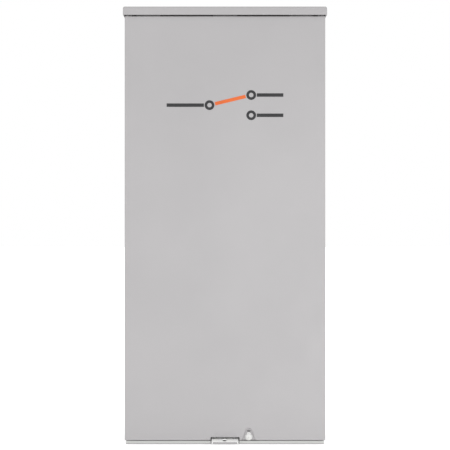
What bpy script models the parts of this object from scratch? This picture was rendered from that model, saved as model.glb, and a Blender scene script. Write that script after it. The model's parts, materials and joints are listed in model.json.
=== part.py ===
"""Wall-mounted manual transfer switch: top-hinged cover, service breaker, double-throw knife switch.

Frame: origin at the centre of the back wall's outer face, +Z up, +X right, the cover faces -Y.
All lengths are written in millimetres and scaled to metres where a mesh is made.
"""
import math

import bmesh
import bpy
from mathutils import Matrix, Vector

MM = 0.001
GAP = 0.3                      # clearance between pieces that touch

# Enclosure
HEIGHT = 735.0                 # underside of the box to the top of the drip hood
TOP, BOTTOM = HEIGHT / 2, -HEIGHT / 2
BOX_HALF_WIDTH = 166.4
BOX_DEPTH = 158.3
BOX_TOP = TOP - 1.9
SHEET = 1.5
SIDE_FLANGE, TOP_FLANGE, BOTTOM_FLANGE = 14.0, 12.0, 26.0
FLANGE_BACK = -(BOX_DEPTH - SHEET)
LEDGE_FRONT = -164.0           # turned-up lip under the cover
LEDGE_TOP = BOTTOM + 5.5
WALL_HOLES, WALL_HOLE_RADIUS = ((0, 300), (-120, -310), (120, -310)), 4.2
CABLE_X, CABLE_Y, CABLE_RADIUS = 85, -80, 25.0
KNOCKOUT_RINGS = (31.0, 37.0)

# Drip hood
HOOD_HALF_WIDTH = 171.5
HOOD_DEPTH = 169.0
HOOD_LIP = 14.0

# Cover
DOOR_HALF_WIDTH = 168.5
DOOR_FRONT = -165.0
DOOR_TOP = TOP - 16.5
DOOR_BOTTOM = BOTTOM + 6.4
DOOR_FLANGE = 12.0
DOOR_INSIDE = DOOR_FRONT + SHEET
HINGE_Y, HINGE_Z = -160.8, TOP - 18.9
PIN_RADIUS, PIN_BORE, KNUCKLE_RADIUS = 1.4, 1.7, 2.4
PIN_HALF_LENGTH = 152.0
BUMPER_X, BUMPER_Z = 159, -300

# Cover screw in its recess, right of centre
SCREW_X, SCREW_Z = 39.8, BOTTOM + 12.5
SHANK_RADIUS, SCREW_HOLE = 2.7, 3.1
RECESS_FLOOR = DOOR_FRONT + 2.5
RECESS_BACK = RECESS_FLOOR + 2
RECESS_HALF_WIDTH = 12.0
RECESS_BACK_HALF_WIDTH = 15.5
HEAD_RADIUS, TAB_RADIUS, TAB_TIP_RADIUS = 5.2, 6.2, 3.6

# Padlock latch at the bottom centre
LATCH_HALF_WIDTH = 22.5
LATCH_Y, LATCH_Z = -146.0, BOTTOM + 15.5
LATCH_HOLE = 4.0

# Inside
PAN_FRONT = -13.5
PAN_HOLE = 2.4
POLE_X, LOAD_LUG_X = 32.0, 80.0
BREAKER_LOW, BREAKER_HIGH = 120.0, 290.0
TOGGLE_Y, TOGGLE_Z, TOGGLE_REST = -78.0, 205.0, -22.0
SET_SCREW_RADIUS, SET_SCREW_WAY = 4.9, 5.2
BASE_FRONT = PAN_FRONT - 12.5
PIVOT_Y, PIVOT_Z, SHAFT_RADIUS = -45.0, -25.0, 3.5
THROW = 45.0                   # each side of the off position, degrees
BLADE_REACH = 50.0
HANDLE_REACH = 93.0
COVER_FRONT = -100.2           # dead front over the live parts
COVER_SHEET = 1.2


def new_collection(name):
    made = bpy.data.collections.new(name)
    bpy.context.scene.collection.children.link(made)
    return made


for old in list(bpy.data.objects):
    bpy.data.objects.remove(old, do_unlink=True)
PARTS = new_collection("manual_transfer_switch")
CUTTERS = new_collection("cutters")


def material(name, colour, roughness, metallic):
    made = bpy.data.materials.new(name)
    made.use_nodes = True
    shader = made.node_tree.nodes["Principled BSDF"]
    shader.inputs["Base Color"].default_value = (*colour, 1.0)
    shader.inputs["Roughness"].default_value = roughness
    shader.inputs["Metallic"].default_value = metallic
    return made


PAINT = material("grey_powder_paint", (0.52, 0.51, 0.515), 0.45, 0.0)
ZINC = material("bright_zinc", (0.80, 0.80, 0.78), 0.28, 1.0)
GALVANISED = material("galvanised_sheet", (0.58, 0.60, 0.61), 0.42, 1.0)
COPPER = material("tinned_copper", (0.72, 0.45, 0.30), 0.30, 1.0)
ALUMINIUM = material("lug_aluminium", (0.77, 0.78, 0.79), 0.35, 1.0)
BLACK = material("black_phenolic", (0.025, 0.025, 0.028), 0.50, 0.0)
BOARD = material("red_insulating_board", (0.28, 0.06, 0.04), 0.55, 0.0)
GRIP = material("handle_plastic", (0.62, 0.09, 0.03), 0.45, 0.0)
RUBBER = material("bumper_rubber", (0.02, 0.02, 0.02), 0.80, 0.0)


# --- building blocks -------------------------------------------------------------------------

def add(name, mesh, finish, at=(0, 0, 0), tilt=0.0):
    """Put a mesh in the scene; without a finish it is a hidden cutter or joining shape."""
    made = bpy.data.objects.new(name, mesh)
    made.location = Vector(at) * MM
    made.rotation_euler.x = math.radians(tilt)
    if finish:
        mesh.materials.append(finish)
        PARTS.objects.link(made)
    else:
        made.hide_render = True
        made.display_type = "WIRE"
        CUTTERS.objects.link(made)
    return made


def mesh_from(bm, name):
    mesh = bpy.data.meshes.new(name)
    bmesh.ops.recalc_face_normals(bm, faces=bm.faces)
    bm.to_mesh(mesh)
    bm.free()
    return mesh


def soften(piece, width, segments=2):
    bevel = piece.modifiers.new("edges", "BEVEL")
    bevel.width = width * MM
    bevel.segments = segments
    bevel.limit_method = "ANGLE"
    return piece


def cube(low, high):
    """A bmesh cuboid between two corners."""
    low, high = Vector(low) * MM, Vector(high) * MM
    bm = bmesh.new()
    place = Matrix.Translation((low + high) / 2) @ Matrix.Diagonal((*(high - low), 1.0))
    bmesh.ops.create_cube(bm, size=1.0, matrix=place)
    return bm


def block(name, low, high, finish=None, edge=0.0, at=(0, 0, 0), tilt=0.0):
    made = add(name, mesh_from(cube(low, high), name), finish, at, tilt)
    return soften(made, edge) if edge else made


def rod(name, start, end, radius, finish=None, sides=24, tip_radius=None, at=(0, 0, 0), tilt=0.0):
    """A cylinder, or a cone when the tip has its own radius, between two points."""
    start, end = Vector(start) * MM, Vector(end) * MM
    along = end - start
    place = Matrix.Translation((start + end) / 2) @ along.to_track_quat("Z", "Y").to_matrix().to_4x4()
    bm = bmesh.new()
    bmesh.ops.create_cone(bm, cap_ends=True, segments=sides, radius1=radius * MM,
                          radius2=(radius if tip_radius is None else tip_radius) * MM,
                          depth=along.length, matrix=place)
    mesh = mesh_from(bm, name)
    mesh.shade_smooth()
    mesh.set_sharp_from_angle(angle=math.radians(40))
    return add(name, mesh, finish, at, tilt)


# Columns of each matrix take an outline's (u, v, depth) to the object's X, Y and Z.
PLANES = {
    "XY": Matrix(((1, 0, 0), (0, 1, 0), (0, 0, 1))),
    "YZ": Matrix(((0, 0, 1), (1, 0, 0), (0, 1, 0))),
    "XZ": Matrix(((1, 0, 0), (0, 0, -1), (0, 1, 0))),
}


def outline(name, points, plane, half_depth, middle=0.0, finish=None, closed=True,
            at=(0, 0, 0), tilt=0.0):
    """A flat outline given depth; left open, it is a folded ribbon for Solidify."""
    curve = bpy.data.curves.new(name, "CURVE")
    curve.dimensions = "2D"
    curve.fill_mode = "BOTH"
    curve.extrude = half_depth * MM
    spline = curve.splines.new("POLY")
    spline.points.add(len(points) - 1)
    for point, (u, v) in zip(spline.points, points):
        point.co = (u * MM, v * MM, 0.0, 1.0)
    spline.use_cyclic_u = closed
    drawn = bpy.data.objects.new(name + "_outline", curve)
    bpy.context.scene.collection.objects.link(drawn)
    evaluated = drawn.evaluated_get(bpy.context.evaluated_depsgraph_get())
    mesh = bpy.data.meshes.new_from_object(evaluated)
    bpy.data.objects.remove(drawn, do_unlink=True)
    bm = bmesh.new()
    bm.from_mesh(mesh)
    bmesh.ops.remove_doubles(bm, verts=bm.verts, dist=1e-6)
    bmesh.ops.translate(bm, verts=bm.verts, vec=(0, 0, middle * MM))
    bmesh.ops.transform(bm, verts=bm.verts, matrix=PLANES[plane].to_4x4())
    return add(name, mesh_from(bm, name), finish, at, tilt)


def arc(u, v, radius, start, end, steps):
    """Points on an arc, angles in degrees from +u towards +v."""
    angles = [math.radians(start + (end - start) * i / steps) for i in range(steps + 1)]
    return [(u + radius * math.cos(a), v + radius * math.sin(a)) for a in angles]


def strip(path, thickness):
    """The closed outline of a bent strip of even thickness along a path."""
    left, right = [], []
    for i, point in enumerate(path):
        here = Vector(point)
        before = (here - Vector(path[i - 1])).normalized() if i else None
        after = (Vector(path[i + 1]) - here).normalized() if i + 1 < len(path) else None
        along = ((before or after) + (after or before)).normalized()
        side = Vector((-along.y, along.x))
        reach = thickness / 2 / max(0.5, side.dot(Vector((-(after or before).y, (after or before).x))))
        left.append(tuple(here + side * reach))
        right.append(tuple(here - side * reach))
    return left + right[::-1]


def thicken(piece, thickness, offset=-1.0):
    solid = piece.modifiers.new("sheet", "SOLIDIFY")
    solid.thickness = thickness * MM
    solid.offset = offset
    solid.use_even_offset = True
    return piece


def boolean(piece, operation, others):
    for other in others:
        change = piece.modifiers.new(operation.lower(), "BOOLEAN")
        change.operation = operation
        change.solver = "EXACT"
        change.object = other
    return piece


def cut(piece, *others):
    return boolean(piece, "DIFFERENCE", others)


def join(piece, *others):
    return boolean(piece, "UNION", others)


def left_right(name):
    """Left and right copies of a piece's name with the sign of their X."""
    return ((name + "_left", -1), (name + "_right", 1))


def shell(name, low, high, open_faces, bend, finish, thickness=SHEET):
    """A folded sheet box; open_faces lists the outward directions that have no wall."""
    bm = cube(low, high)
    bm.faces.ensure_lookup_table()
    gone = [f for f in bm.faces if any(f.normal.dot(Vector(d)) > 0.9 for d in open_faces)]
    bmesh.ops.delete(bm, geom=gone, context="FACES")
    made = add(name, mesh_from(bm, name), finish)
    soften(made, bend, 3)
    return thicken(made, thickness)


# --- enclosure -------------------------------------------------------------------------------

def back_box():
    """Folded box, open at the front inside its return flanges, with a turned-up ledge below."""
    bm = cube((-BOX_HALF_WIDTH, -BOX_DEPTH, BOTTOM), (BOX_HALF_WIDTH, 0, BOX_TOP))
    front = [f for f in bm.faces if f.normal.y < -0.9]
    bmesh.ops.inset_region(bm, faces=front, thickness=SIDE_FLANGE * MM)
    for vert in front[0].verts:
        low = vert.co.z < 0
        vert.co.z = (BOTTOM + BOTTOM_FLANGE if low else BOX_TOP - TOP_FLANGE) * MM
    bmesh.ops.delete(bm, geom=front, context="FACES")
    box = add("back_box", mesh_from(bm, "back_box"), PAINT)
    thicken(soften(box, 2.5, 3), SHEET)

    skin = 0.1
    lip = [(-150, BOTTOM + skin), (-162.5, BOTTOM + skin), (-163.6, BOTTOM + 0.5),
           (LEDGE_FRONT, BOTTOM + 1.6), (LEDGE_FRONT, LEDGE_TOP), (LEDGE_FRONT + 1.3, LEDGE_TOP),
           (LEDGE_FRONT + 1.3, BOTTOM + 1.4), (-150, BOTTOM + 1.4)]
    join(box, outline("ledge", lip, "YZ", BOX_HALF_WIDTH - 0.2))

    slot = LATCH_HALF_WIDTH + 1.5
    cut(box, block("latch_slot", (-slot, -166, BOTTOM - 1), (slot, -155.5, BOTTOM + 18)),
        rod("screw_way", (SCREW_X, -160, SCREW_Z), (SCREW_X, -155, SCREW_Z), SCREW_HOLE + 0.5))
    for x, z in WALL_HOLES:
        cut(box, rod("wall_hole", (x, -3, z), (x, 1, z), WALL_HOLE_RADIUS))

    def down(name, x, high, radius):
        """An upright cutter through or into the floor of the box."""
        return rod(name, (x, CABLE_Y, BOTTOM - 1), (x, CABLE_Y, high), radius, sides=32)

    for x in (-CABLE_X, CABLE_X):
        cut(box, down("cable_entry", x, BOTTOM + 3, CABLE_RADIUS))
        for radius in KNOCKOUT_RINGS:
            ring = down("knockout", x, BOTTOM + 0.5, radius)
            cut(ring, down("knockout_slug", x, BOTTOM + 1, radius - 1.0))
            cut(box, ring)


def drip_hood():
    shell("drip_hood", (-HOOD_HALF_WIDTH, -HOOD_DEPTH, TOP - HOOD_LIP),
          (HOOD_HALF_WIDTH, -GAP, TOP), ((0, 0, -1), (0, 1, 0)), 3.0, PAINT)


def hinge():
    """A pin through three knuckles on the box and two on the cover."""
    end = PIN_HALF_LENGTH
    pin = rod("hinge_pin", (-end, HINGE_Y, HINGE_Z), (end, HINGE_Y, HINGE_Z), PIN_RADIUS, ZINC, 16)
    for side in (-1, 1):
        join(pin, rod("pin_head", (side * (end - 0.5), HINGE_Y, HINGE_Z),
                      (side * (end + 1.5), HINGE_Y, HINGE_Z), 2.2, sides=16))

    def knuckle(name, middle, half, leaf):
        tube = rod(name, (middle - half, HINGE_Y, HINGE_Z), (middle + half, HINGE_Y, HINGE_Z),
                   KNUCKLE_RADIUS, PAINT, 20)
        join(tube, outline(name + "_leaf", leaf, "YZ", half - 0.2, middle))
        cut(tube, rod(name + "_bore", (middle - half - 1, HINGE_Y, HINGE_Z),
                      (middle + half + 1, HINGE_Y, HINGE_Z), PIN_BORE, sides=20))

    web_low, web_high = HINGE_Z - 2.3, HINGE_Z - 1.85
    behind = FLANGE_BACK + GAP
    box_leaf = [(HINGE_Y, web_low), (behind + 1.2, web_low), (behind + 1.2, BOX_TOP - 4),
                (behind, BOX_TOP - 4), (behind, web_high), (HINGE_Y, web_high)]
    for name, middle in (("left", -128), ("centre", 0), ("right", 128)):
        knuckle("box_hinge_" + name, middle, 20, box_leaf)
    inner = DOOR_INSIDE + GAP
    door_leaf = [(inner, HINGE_Z), (inner, HINGE_Z - 20), (inner + 0.6, HINGE_Z - 20),
                 (inner + 0.6, HINGE_Z)]
    for name, side in left_right("door_hinge"):
        knuckle(name, side * 64, 42, door_leaf)


def door():
    """Flat cover with side and bottom flanges, the screw recess and the latch notch."""
    panel = shell("door_panel", (-DOOR_HALF_WIDTH, DOOR_FRONT, DOOR_BOTTOM),
                  (DOOR_HALF_WIDTH, DOOR_FRONT + DOOR_FLANGE, DOOR_TOP),
                  ((0, 1, 0), (0, 0, 1)), 2.5, PAINT)
    inner, flange_back = DOOR_HALF_WIDTH - SHEET - 0.1, -158.9
    cut(panel, block("short_bottom_flange", (-inner, flange_back, DOOR_BOTTOM - 1),
                     (inner, -150, DOOR_BOTTOM + 8)))
    left, right = SCREW_X - RECESS_BACK_HALF_WIDTH, SCREW_X + RECESS_BACK_HALF_WIDTH
    join(panel, block("recess_back", (left, DOOR_INSIDE - 0.1, DOOR_BOTTOM + 0.2),
                      (right, RECESS_BACK, DOOR_BOTTOM + 28)))

    bell_z = SCREW_Z + 4
    bell = ([(SCREW_X + RECESS_HALF_WIDTH, DOOR_BOTTOM - 2)]
            + arc(SCREW_X, bell_z, RECESS_HALF_WIDTH, 0, 180, 16)
            + [(SCREW_X - RECESS_HALF_WIDTH, DOOR_BOTTOM - 2)])
    depth = (RECESS_FLOOR - DOOR_FRONT + 1) / 2
    recess = outline("screw_recess", bell, "XZ", depth, 1 - depth - DOOR_FRONT)
    draft = 0.18                            # the recess narrows towards its floor
    for vert in recess.data.vertices:
        if vert.co.y > (DOOR_FRONT + 1) * MM:
            vert.co.x += (SCREW_X * MM - vert.co.x) * draft
            vert.co.z += (min(vert.co.z, bell_z * MM) - vert.co.z) * draft
    slot = LATCH_HALF_WIDTH + 2
    cut(panel, recess,
        rod("screw_hole", (SCREW_X, -166, SCREW_Z), (SCREW_X, -155, SCREW_Z), SCREW_HOLE),
        block("latch_notch", (-slot, -168, DOOR_BOTTOM - 2), (slot, -150, DOOR_BOTTOM + 5.6)))
    turns = [t * math.pi / 8 for t in range(16)]
    seal_slot = [(SCREW_X + 3 * math.cos(a), SCREW_Z + 9.8 + 1.5 * math.sin(a)) for a in turns]
    cut(panel, outline("seal_slot", seal_slot, "XZ", 4, 162))
    pull_z, pull_half_width, pull_half_height = DOOR_BOTTOM + 9.5, 17, 2.5
    cut(panel, block("finger_pull", (-pull_half_width, DOOR_FRONT - 1, pull_z - pull_half_height),
                     (pull_half_width, DOOR_FRONT + 0.45, pull_z + pull_half_height), edge=0.4))

    teardrop = (arc(SCREW_X, SCREW_Z, TAB_RADIUS, -197, 17, 18)
                + arc(SCREW_X, SCREW_Z + 4.2, TAB_TIP_RADIUS, 20, 160, 10))
    tab = outline("seal_tab", teardrop, "XZ", 0.6, 163.4, ZINC)
    cut(tab, rod("tab_hole", (SCREW_X, -166, SCREW_Z), (SCREW_X, -155, SCREW_Z), SCREW_HOLE))

    for name, side in left_right("door_bumper"):
        x = side * BUMPER_X
        rod(name, (x, DOOR_INSIDE + GAP, BUMPER_Z), (x, -BOX_DEPTH - GAP, BUMPER_Z), 4.5,
            RUBBER, 20, 3.8)


def cover_screw():
    """Slotted pan-head screw with its push-on retainer, and the nut welded behind the flange."""
    at = (SCREW_X, DOOR_FRONT, SCREW_Z)
    head_back, head_front, shank_end, chamfer, crown = 0.7, -2.5, 15.0, 1.2, 2.0
    profile = ([(0.0, head_front + 0.4)]
               + arc(HEAD_RADIUS - crown, head_front + crown, crown, -90, 0, 5)
               + [(HEAD_RADIUS, head_back), (SHANK_RADIUS, head_back),
                  (SHANK_RADIUS, shank_end - chamfer),
                  (SHANK_RADIUS - 1.0, shank_end), (0.0, shank_end)])
    bm = bmesh.new()
    verts = [bm.verts.new((r * MM, y * MM, 0.0)) for r, y in profile]
    for a, b in zip(verts, verts[1:]):
        bm.edges.new((a, b))
    mesh = bpy.data.meshes.new("cover_screw")
    bm.to_mesh(mesh)
    bm.free()
    mesh.shade_smooth()
    screw = add("cover_screw", mesh, ZINC, at)
    turn = screw.modifiers.new("turn", "SCREW")
    turn.axis = "Y"
    turn.steps = turn.render_steps = 28
    turn.use_merge_vertices = True
    turn.merge_threshold = 0.00001
    turn.use_normal_calculate = True
    cut(screw, block("driver_slot", (-0.6, -4, -7), (0.6, -1.2, 7), at=at))
    nut_front, nut_back = FLANGE_BACK + GAP, FLANGE_BACK + GAP + 5
    washer_front, washer_radius, nut_radius = RECESS_BACK + GAP, 4.1, 6.5
    washer = rod("screw_retainer", (SCREW_X, washer_front, SCREW_Z),
                 (SCREW_X, washer_front + 0.9, SCREW_Z), washer_radius, ZINC, 20)
    nut = rod("cover_screw_nut", (SCREW_X, nut_front, SCREW_Z), (SCREW_X, nut_back, SCREW_Z),
              nut_radius, ZINC, 6)
    bore = (SCREW_X, nut_front - 9, SCREW_Z), (SCREW_X, nut_back + 2, SCREW_Z)
    cut(washer, rod("washer_bore", *bore, SHANK_RADIUS + GAP))
    cut(nut, rod("nut_bore", *bore, SCREW_HOLE + 0.2))


def latch():
    """Sprung padlock tongue on a pin, in a bracket on the floor of the box."""
    ear = LATCH_HALF_WIDTH + 1.5
    floor = BOTTOM + SHEET + GAP
    bracket = block("latch_bracket", (-ear - 2.5, -154, floor), (ear + 2.5, -136, floor + 1.5),
                    GALVANISED)
    for side in (-1, 1):
        low, high = sorted((side * (ear + 0.5), side * (ear + 2.2)))
        join(bracket, block("latch_ear", (low, LATCH_Y - 6, floor + 0.5),
                            (high, LATCH_Y + 6, LATCH_Z + 5)))
    reach, pin_radius = ear + 3.5, 1.6
    cut(bracket, rod("ear_bore", (-reach - 5, LATCH_Y, LATCH_Z), (reach + 5, LATCH_Y, LATCH_Z),
                     pin_radius + GAP, sides=20))
    rod("latch_pin", (-reach, LATCH_Y, LATCH_Z), (reach, LATCH_Y, LATCH_Z), pin_radius, ZINC, 16)

    # The strip is drawn about the pin: (forward, up) offsets, with the forward axis along -Y.
    path = [(0.0, -2.9), (-4.5, -2.9), (-10.0, -6.6), (-15.0, -7.2), (-28.0, -11.4), (-28.25, -14.3)]
    tongue = outline("latch_tongue", strip(path, 1.4), "YZ", LATCH_HALF_WIDTH, 0, ZINC,
                     at=(0, LATCH_Y, LATCH_Z))
    at = {"at": (0, LATCH_Y, LATCH_Z)}
    half = LATCH_HALF_WIDTH
    join(tongue, rod("tongue_barrel", (-half + 0.1, 0, 0), (half - 0.1, 0, 0), 3.3, sides=20, **at))
    cut(tongue, rod("tongue_bore", (-half - 1, 0, 0), (half + 1, 0, 0), 1.95, sides=20, **at),
        rod("padlock_hole", (-1, -21.5, -20), (-1, -21.5, 0), LATCH_HOLE, **at))


# --- inside ----------------------------------------------------------------------------------

def pan_head(name, x, head_back, z, end, radius=2.0, head=4.2, finish=ZINC):
    """A slotted pan-head screw along Y, its head in front of head_back."""
    screw = rod(name, (x, head_back, z), (x, head_back - 2.4, z), head, finish, 18, head * 0.8)
    if end > head_back:
        join(screw, rod(name + "_shank", (x, head_back - 0.5, z), (x, end, z), radius, sides=14))
    cut(screw, block(name + "_slot", (x - 0.5, head_back - 4, z - head),
                     (x + 0.5, head_back - 1.4, z + head)))


def mounting_pan():
    half, low, high = 135.0, -300.0, 340.0
    pan = shell("mounting_pan", (-half, PAN_FRONT, low), (half, -SHEET - GAP, high), ((0, 1, 0),), 1.5,
                GALVANISED, 1.2)
    spots = [(x, z) for x in (-124, 124) for z in (low + 20, high - 9)]
    for i, (x, z) in enumerate(spots, 1):
        cut(pan, rod("pan_hole", (x, -16, z), (x, -10, z), PAN_HOLE, sides=16))
        pan_head(f"pan_screw_{i}", x, PAN_FRONT - GAP, z, -SHEET - GAP)


def breaker():
    """Two-pole main breaker: moulded case, toggle, and a lug with its screw on each line terminal."""
    half, front = 55.0, -85.0
    boss_half, boss_low, boss_high, boss_front = 23.0, TOGGLE_Z - 28, TOGGLE_Z + 28, -104.0
    case = block("breaker_case", (-half, front, BREAKER_LOW), (half, PAN_FRONT - GAP, BREAKER_HIGH),
                 BLACK, 2.0)
    join(case, block("boss", (-boss_half, boss_front, boss_low), (boss_half, front + 5, boss_high),
                     edge=1.5))
    cut(case, block("toggle_slot", (-9.5, boss_front - 2, TOGGLE_Z - 21), (9.5, -66, TOGGLE_Z + 21)))
    pocket_back, lug_front, way_y, way_z = -35, -68, -48, BREAKER_HIGH - 20
    for name, side in left_right("line_lug"):
        x = side * 27.0
        cut(case, block("terminal_pocket", (x - 15, front - 2, BREAKER_HIGH - 38),
                        (x + 15, pocket_back, BREAKER_HIGH + 2)))
        lug = block(name, (x - 12, lug_front, BREAKER_HIGH - 34),
                    (x + 12, pocket_back - GAP, BREAKER_HIGH - 6), ALUMINIUM, 1.0)
        cut(lug, rod("wire_way", (x, way_y, BREAKER_HIGH - 36), (x, way_y, BREAKER_HIGH), 8.5),
            rod("screw_way", (x, lug_front - 2, way_z), (x, way_y, way_z), SET_SCREW_WAY, sides=20))
        set_screw(name + "_screw", x, lug_front - 3.0, way_z)
    toggle_at = {"at": (0, TOGGLE_Y, TOGGLE_Z), "tilt": TOGGLE_REST}
    toggle = rod("breaker_toggle", (-8.5, 0, 0), (8.5, 0, 0), 9.0, BLACK, 28, **toggle_at)
    join(toggle, block("toggle_blade", (-7.5, -44, -4.5), (7.5, -4, 4.5), edge=1.2, **toggle_at))


def set_screw(name, x, front, z):
    """A socket set screw in a lug's front hole."""
    screw = rod(name, (x, front, z), (x, front + 9, z), SET_SCREW_RADIUS, ZINC, 20)
    cut(screw, rod(name + "_socket", (x, front - 1, z), (x, front + 4, z), 2.8, sides=6))


def lug(name, x, z):
    """A box lug on the switch, its wire way vertical and its set screw facing forward."""
    back, half, depth = BASE_FRONT - 4 - GAP, 11, 24
    way_y, way_radius = back - half, 7.5
    made = block(name, (x - half, back - depth, z - half), (x + half, back, z + half),
                 ALUMINIUM, 1.0)
    cut(made, rod("lug_way", (x, way_y, z - half - 2), (x, way_y, z + half + 2), way_radius),
        rod("lug_screw_way", (x, back - depth - 2, z), (x, way_y, z), SET_SCREW_WAY, sides=20))
    set_screw(name + "_screw", x, back - depth - 3.0, z)


def jaw(name, x, up):
    """A spring jaw on a post; up is +1 above the pivot (utility) and -1 below (generator)."""
    def place(low, high):
        a, b = PIVOT_Z + up * low, PIVOT_Z + up * high
        return min(a, b), max(a, b)

    foot_low, foot_high = place(45, 97)
    post_low, post_high = place(45, 57)
    leaf_low, leaf_high = place(23, 46)
    post_front = -86.0
    made = block(name, (x - 10, BASE_FRONT - 4, foot_low), (x + 10, BASE_FRONT - GAP, foot_high), COPPER)
    join(made, block("jaw_post", (x - 8, post_front, post_low), (x + 8, BASE_FRONT - 1, post_high)))
    for side in (-1, 1):
        near, far = sorted((x + side * 1.9, x + side * 4.1))
        join(made, block("jaw_leaf", (near, post_front, leaf_low), (far, -64, leaf_high)))


def switch_base():
    block("switch_base", (-100, BASE_FRONT, -126), (100, PAN_FRONT - GAP, 76), BOARD, 1.5)


def load_terminal(name, x):
    """Forked post that carries the blade's pivot, with a strap out to the load lug."""
    outward = 1 if x > 0 else -1
    low, high = sorted((x - 10 * outward, (LOAD_LUG_X + 10) * outward))
    post = block(name, (low, BASE_FRONT - 4, PIVOT_Z - 11), (high, BASE_FRONT - GAP, PIVOT_Z + 11), COPPER)
    join(post, block("post", (x - 8, BASE_FRONT - 7, PIVOT_Z - 9), (x + 8, BASE_FRONT - 1, PIVOT_Z + 9)))
    for side in (-1, 1):
        near, far = sorted((x + side * 1.9, x + side * 4.6))
        join(post, block("ear", (near, PIVOT_Y - 8, PIVOT_Z - 8), (far, BASE_FRONT - 5, PIVOT_Z + 8)))
    cut(post, rod("pivot_bore", (x - 12, PIVOT_Y, PIVOT_Z), (x + 12, PIVOT_Y, PIVOT_Z),
                  SHAFT_RADIUS + GAP, sides=20))


def transfer_switch():
    """Base, jaws, load posts and lugs, and the pair of blades with their crossbar and handle."""
    switch_base()
    rod("pivot_shaft", (-46, PIVOT_Y, PIVOT_Z), (46, PIVOT_Y, PIVOT_Z), SHAFT_RADIUS, BLACK, 20)
    at = {"at": (0, PIVOT_Y, PIVOT_Z), "tilt": -THROW}
    bar_half, bar_y = 5.0, -22.0
    for name, side in left_right("blade"):
        where = name.split("_")[1]
        x = side * POLE_X
        jaw("utility_jaw_" + where, x, 1)
        jaw("generator_jaw_" + where, x, -1)
        load_terminal("load_terminal_" + where, x)
        lug("load_lug_" + where, side * LOAD_LUG_X, PIVOT_Z)
        lug("generator_lug_" + where, x, PIVOT_Z - 84)
        block("feed_bus_" + where, (x - 9, BASE_FRONT - 7.3, PIVOT_Z + 64),
              (x + 9, BASE_FRONT - 4 - GAP, BREAKER_LOW - GAP), COPPER)
        shape = arc(0, 0, 9, -90, 90, 12) + [(-BLADE_REACH, 9), (-BLADE_REACH, -9)]
        blade = outline(name, shape, "YZ", 1.5, x, COPPER, **at)
        cut(blade, rod("blade_bore", (x - 5, 0, 0), (x + 5, 0, 0), SHAFT_RADIUS + GAP, sides=20, **at),
            block("bar_way", (x - 5, bar_y - bar_half - GAP, -bar_half - GAP),
                  (x + 5, bar_y + bar_half + GAP, bar_half + GAP), **at))
    block("crossbar", (-42, bar_y - bar_half, -bar_half), (42, bar_y + bar_half, bar_half), BLACK, **at)
    hub = bar_y - bar_half - GAP
    handle = block("transfer_handle", (-12, hub - 4, -5), (12, hub, 5), GRIP, **at)
    join(handle, block("arm", (-6, -HANDLE_REACH, -4.8), (6, hub - 2, 4.8), **at),
         rod("grip", (-30, -HANDLE_REACH, 0), (30, -HANDLE_REACH, 0), 6.2, sides=24, **at))


def ground_and_neutral():
    """Neutral bar on its insulator, ground bar on the pan, and the jumper that bonds them."""
    low, high = -205.0, -185.0
    block("neutral_insulator", (-100, -38, low + 2), (-20, PAN_FRONT - GAP, high - 2), BLACK, 1.0)
    neutral = block("neutral_bar", (-112, -54, low), (-8, -38 - GAP, high), ALUMINIUM, 0.8)
    ground = block("ground_bar", (16, -27, low + 3), (112, PAN_FRONT - GAP, high - 3), ALUMINIUM, 0.8)
    middle = (low + high) / 2
    for bar, start, pitch, y, bore in ((neutral, -100, 18, -45, 5.0), (ground, 46, 14, -20, 3.4)):
        for i in range(5):
            x = start + pitch * i
            cut(bar, rod("bar_way", (x, y, low - 2), (x, y, high + 2), bore, sides=16),
                rod("bar_screw_way", (x, -60, middle), (x, y, middle), bore * 0.7, sides=14))
    off_neutral, off_ground = -54 - GAP - 1.2, -27 - GAP - 1.2
    bend = [(-28, off_neutral), (4, off_neutral), (4, off_ground), (38, off_ground)]
    jumper = outline("bonding_jumper", bend, "XY", 6, middle, COPPER, closed=False)
    thicken(jumper, 1.0, 0.0)


def dead_front():
    """Folded cover over the live parts, open for the breaker's toggle and the handle's swing."""
    half, foot, half_height, middle, swing = 115.0, 129.0, 235.0, 85.0, 65.0
    face, rest = COVER_FRONT + COVER_SHEET / 2, PAN_FRONT - 0.8 - GAP
    bend = [(-foot, rest), (-half, rest), (-half, face), (half, face), (half, rest), (foot, rest)]
    cover = outline("dead_front", bend, "XY", half_height, middle, PAINT, closed=False)
    thicken(cover, COVER_SHEET, 0.0)
    cut(cover, block("breaker_window", (-25, -104, TOGGLE_Z - 30), (25, -95, TOGGLE_Z + 30)),
        block("handle_slot", (-8.5, -104, PIVOT_Z - swing), (8.5, -95, PIVOT_Z + swing)))
    spots = [(x, z) for x in (-122, 122) for z in (-120, 280)]
    for i, (x, z) in enumerate(spots, 1):
        cut(cover, rod("foot_hole", (x, -18, z), (x, -13.7, z), PAN_HOLE, sides=16))
        cut(bpy.data.objects["mounting_pan"],
            rod("pan_tap", (x, -18, z), (x, -10, z), PAN_HOLE, sides=16))
        pan_head(f"dead_front_screw_{i}", x, PAN_FRONT - 1.4 - 2 * GAP, z, -8)


back_box()
drip_hood()
hinge()
door()
cover_screw()
latch()
mounting_pan()
breaker()
transfer_switch()
ground_and_neutral()
dead_front()
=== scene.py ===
"""Looks for the wall-mounted transfer switch: finer sheet metal, fasteners, procedural finishes and studio.

Sizes are in millimetres, scaled to metres where a mesh is made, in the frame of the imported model:
origin on the back wall, +Z up, +X right, the cover faces -Y.
"""
import json
import math

import bmesh
import bpy
from mathutils import Matrix, Vector


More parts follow.
